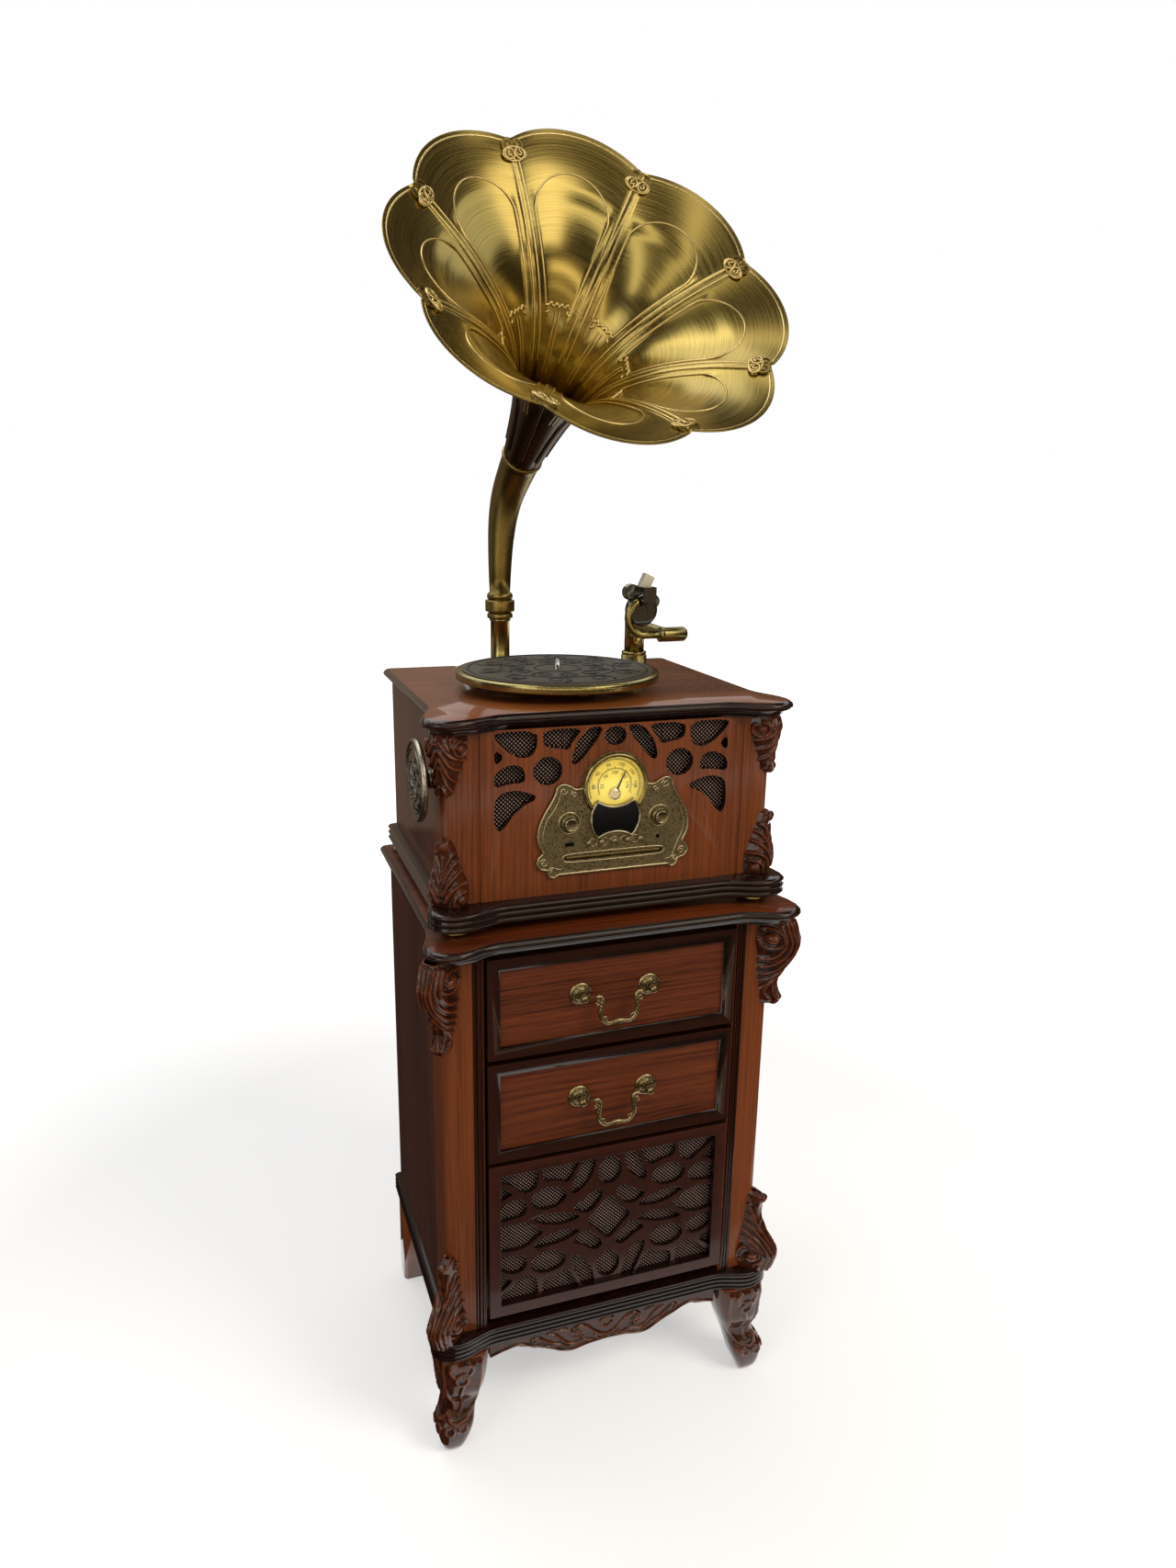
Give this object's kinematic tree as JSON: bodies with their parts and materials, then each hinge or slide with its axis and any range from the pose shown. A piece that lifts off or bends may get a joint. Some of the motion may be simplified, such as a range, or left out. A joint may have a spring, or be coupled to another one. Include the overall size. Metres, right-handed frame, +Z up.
{
  "type": "floor-standing gramophone",
  "caption": "Floor-standing wooden gramophone with a petalled brass horn, belt-driven turntable and tonearm, radio and disc player in its upper box, and a cabinet with drawers and a grille.",
  "frame": {"origin": "middle of the whole object's bounding box, on the floor", "axes": "+Z up, +X to the right as seen from the front, +Y to the back; the front faces -Y"},
  "size_m": [0.579, 0.5277, 1.8916],
  "materials": {
    "mahogany": "clear gloss lacquer over reddish brown grain",
    "dark_wood": "near-black brown gloss lacquer",
    "inside_wood": "plain, unpolished",
    "fretwork": "dark maroon gloss lacquer",
    "cloth": "woven",
    "black_cone": "matt",
    "brass": "antiqued, satin",
    "gold_sheet": "brushed and lacquered sheet",
    "bronze": "dark antique bronze, satin",
    "black_metal": "gloss black",
    "dial": "lit from behind",
    "glass": "clear",
    "window": "polished",
    "board": "solder mask",
    "drive_case": "plated",
    "supply_case": "matt",
    "steel": "polished",
    "belt": "matt",
    "mat": "printed with a small pattern"
  },
  "bodies": {
    "cabinet": {"legs": "dark_wood", "apron": "dark_wood", "base_moulding": "dark_wood", "cabinet_sides": "mahogany", "cabinet_back": "mahogany", "front_stiles": "mahogany", "inner_framing": "inside_wood", "cabinet_top": "mahogany", "cabinet_carvings": "dark_wood", "grille_panel": "fretwork", "speaker_cloth": "cloth", "woofer": "black_cone", "box_feet": "brass", "box_base": "dark_wood", "box_sides": "mahogany", "box_back": "mahogany", "box_posts": "mahogany", "front_panel": "mahogany", "box_carvings": "dark_wood", "box_speakers": "black_cone", "deck_board": "mahogany", "control_plate": "bronze", "dial_bezel": "brass", "dial_face": "dial", "dial_glass": "glass", "display_window": "window", "control_board": "board", "disc_drive": "drive_case", "power_supply": "supply_case", "turntable_motor": "drive_case", "platter_bearing": "steel", "drive_belt": "belt", "horn_post": "brass", "tonearm_base": "bronze"},
    "turntable": {"platter": "bronze", "platter_mat": "mat", "spindle": "steel"},
    "pulley": {"motor_pulley": "steel"},
    "horn": {"horn_elbow": "brass", "horn_bell": "gold_sheet", "horn_rosettes": "gold_sheet"},
    "arm_column": {"tonearm_swivel": "bronze"},
    "arm": {"tonearm_tube": "bronze"},
    "arm_head": {"gooseneck": "bronze", "sound_box": "black_metal"},
    "top_drawer": {"upper_drawer": "mahogany", "upper_roses": "brass"},
    "top_bail": {"upper_bail": "brass"},
    "bottom_drawer": {"lower_drawer": "mahogany", "lower_roses": "brass"},
    "bottom_bail": {"lower_bail": "brass"},
    "tuning": {"tuning_knob": "bronze"},
    "volume": {"volume_knob": "bronze"},
    "pointer": {"dial_pointer": "black_metal"},
    "wheel": {"side_wheel": "bronze"},
    "push_1": {"button_1": "bronze"},
    "push_2": {"button_2": "bronze"},
    "push_3": {"button_3": "bronze"},
    "push_4": {"button_4": "bronze"},
    "push_5": {"button_5": "bronze"}
  },
  "joints": [
    {"name": "platter_spin", "type": "hinge", "parent": "cabinet", "child": "turntable", "pos_m": [-0.0293, 0.0197, 1.161], "axis": [0, 0, 1], "continuous": true},
    {"name": "pulley_spin", "type": "hinge", "parent": "cabinet", "child": "pulley", "pos_m": [-0.13103, 0.04132, 1.141], "axis": [0, 0, 1], "continuous": true},
    {"name": "horn_swivel", "type": "hinge", "parent": "cabinet", "child": "horn", "pos_m": [-0.0585, 0.234, 1.2134], "axis": [0, 0, 1], "range_deg": [-75, 75]},
    {"name": "arm_swing", "type": "hinge", "parent": "cabinet", "child": "arm_column", "pos_m": [0.156, 0.176, 1.18], "axis": [0, 0, 1], "range_deg": [-40, 3]},
    {"name": "arm_lift", "type": "hinge", "parent": "arm_column", "child": "arm", "pos_m": [0.156, 0.176, 1.2055], "axis": [-1, 0, 0], "range_deg": [0, 20]},
    {"name": "head_flip", "type": "hinge", "parent": "arm", "child": "arm_head", "pos_m": [0.145, 0.036, 1.2055], "axis": [1, 0, 0], "range_deg": [0, 116]},
    {"name": "top_drawer_slide", "type": "slide", "parent": "cabinet", "child": "top_drawer", "axis": [0, -1, 0], "range_m": [0, 0.28]},
    {"name": "top_bail_lift", "type": "hinge", "parent": "top_drawer", "child": "top_bail", "pos_m": [0, -0.1855, 0.72762], "axis": [-1, 0, 0], "range_deg": [0, 85]},
    {"name": "bottom_drawer_slide", "type": "slide", "parent": "cabinet", "child": "bottom_drawer", "axis": [0, -1, 0], "range_m": [0, 0.28]},
    {"name": "bottom_bail_lift", "type": "hinge", "parent": "bottom_drawer", "child": "bottom_bail", "pos_m": [0, -0.1855, 0.56421], "axis": [-1, 0, 0], "range_deg": [0, 85]},
    {"name": "tuning_turn", "type": "hinge", "parent": "cabinet", "child": "tuning", "pos_m": [0.067, -0.154, 0.977], "axis": [0, 1, 0], "range_deg": [-275, 150]},
    {"name": "pointer_turn", "type": "hinge", "parent": "cabinet", "child": "pointer", "pos_m": [0, -0.148, 1.013], "axis": [0, 1, 0], "range_deg": [-110, 60]},
    {"name": "volume_turn", "type": "hinge", "parent": "cabinet", "child": "volume", "pos_m": [-0.067, -0.154, 0.977], "axis": [0, 1, 0], "range_deg": [-135, 135]},
    {"name": "wheel_turn", "type": "hinge", "parent": "cabinet", "child": "wheel", "pos_m": [-0.25, -0.109, 1.042], "axis": [1, 0, 0], "continuous": true},
    {"name": "push_1_press", "type": "slide", "parent": "cabinet", "child": "push_1", "axis": [0, 1, 0], "range_m": [0, 0.002], "stiffness_N_per_m": 400, "springref_m": -0.001},
    {"name": "push_2_press", "type": "slide", "parent": "cabinet", "child": "push_2", "axis": [0, 1, 0], "range_m": [0, 0.002], "stiffness_N_per_m": 400, "springref_m": -0.001},
    {"name": "push_3_press", "type": "slide", "parent": "cabinet", "child": "push_3", "axis": [0, 1, 0], "range_m": [0, 0.002], "stiffness_N_per_m": 400, "springref_m": -0.001},
    {"name": "push_4_press", "type": "slide", "parent": "cabinet", "child": "push_4", "axis": [0, 1, 0], "range_m": [0, 0.002], "stiffness_N_per_m": 400, "springref_m": -0.001},
    {"name": "push_5_press", "type": "slide", "parent": "cabinet", "child": "push_5", "axis": [0, 1, 0], "range_m": [0, 0.002], "stiffness_N_per_m": 400, "springref_m": -0.001}
  ],
  "couplings": [
    {"joint": "pulley_spin", "follows": "platter_spin", "ratio": 9.6667},
    {"joint": "pointer_turn", "follows": "tuning_turn", "ratio": 0.4}
  ]
}
